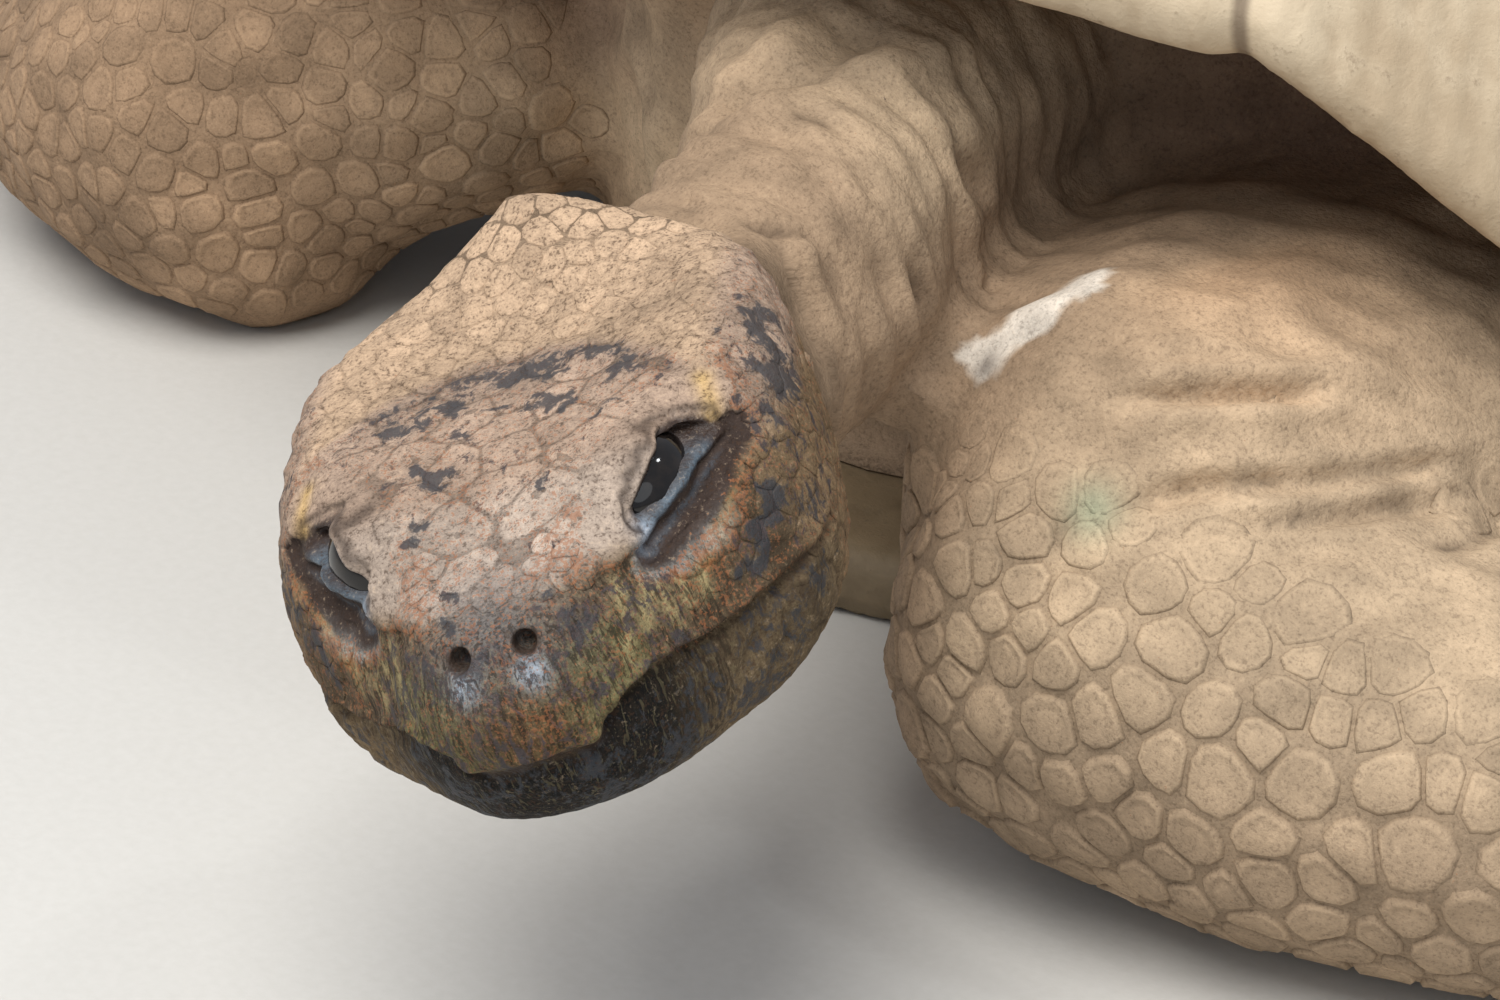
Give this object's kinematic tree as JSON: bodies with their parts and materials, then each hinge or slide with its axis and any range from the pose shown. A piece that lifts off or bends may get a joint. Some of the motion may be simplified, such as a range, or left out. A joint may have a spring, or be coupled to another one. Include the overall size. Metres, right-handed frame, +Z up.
{
  "type": "giant tortoise",
  "caption": "Giant tortoise lying at rest, head stretched out and turned to its left, forelegs folded beside the neck, under a high domed shell of horn plates.",
  "frame": {"origin": "On the floor, under the middle of the whole animal's bounding box", "axes": "+X is the animal's left, -Y is the way it faces, +Z is up; the floor it lies on is z = 0"},
  "size_m": [0.9874, 1.3262, 0.505],
  "materials": {
    "skin": "dry wrinkled hide with horny scales",
    "head_skin": "fine horny scales, brown with blue-black patches",
    "jaw_horn": "dark olive horn with fine upright ridges",
    "eye": "wet, almost black",
    "shell_horn": "worn horn with growth rings",
    "rim_horn": "pale cream worn horn",
    "belly_horn": "worn horn",
    "claw": "blunt dark horn"
  },
  "bodies": {
    "root": {"bridge_left": "belly_horn", "bridge_right": "belly_horn", "costal_left_1": "shell_horn", "costal_left_2": "shell_horn", "costal_left_3": "shell_horn", "costal_left_4": "shell_horn", "costal_right_1": "shell_horn", "costal_right_2": "shell_horn", "costal_right_3": "shell_horn", "costal_right_4": "shell_horn", "eye_left": "eye", "eye_right": "eye", "foreleg_left_claw_1": "claw", "foreleg_left_claw_2": "claw", "foreleg_left_claw_3": "claw", "foreleg_left_claw_4": "claw", "foreleg_left_claw_5": "claw", "foreleg_left_lower": "skin", "foreleg_left_upper": "skin", "foreleg_right_claw_1": "claw", "foreleg_right_claw_2": "claw", "foreleg_right_claw_3": "claw", "foreleg_right_claw_4": "claw", "foreleg_right_claw_5": "claw", "foreleg_right_lower": "skin", "foreleg_right_upper": "skin", "head": "head_skin", "hindleg_left_claw_1": "claw", "hindleg_left_claw_2": "claw", "hindleg_left_claw_3": "claw", "hindleg_left_claw_4": "claw", "hindleg_left_lower": "skin", "hindleg_left_upper": "skin", "hindleg_right_claw_1": "claw", "hindleg_right_claw_2": "claw", "hindleg_right_claw_3": "claw", "hindleg_right_claw_4": "claw", "hindleg_right_lower": "skin", "hindleg_right_upper": "skin", "lower_jaw": "jaw_horn", "neck_front": "skin", "neck_rear": "skin", "plastron": "belly_horn", "rim_front_left": "rim_horn", "rim_front_right": "rim_horn", "rim_rear_left": "rim_horn", "rim_rear_right": "rim_horn", "rim_side_left": "rim_horn", "rim_side_right": "rim_horn", "rim_tail": "rim_horn", "tail": "skin", "trunk": "skin", "vertebral_1": "shell_horn", "vertebral_2": "shell_horn", "vertebral_3": "shell_horn", "vertebral_4": "shell_horn", "vertebral_5": "shell_horn"}
  },
  "joints": []
}
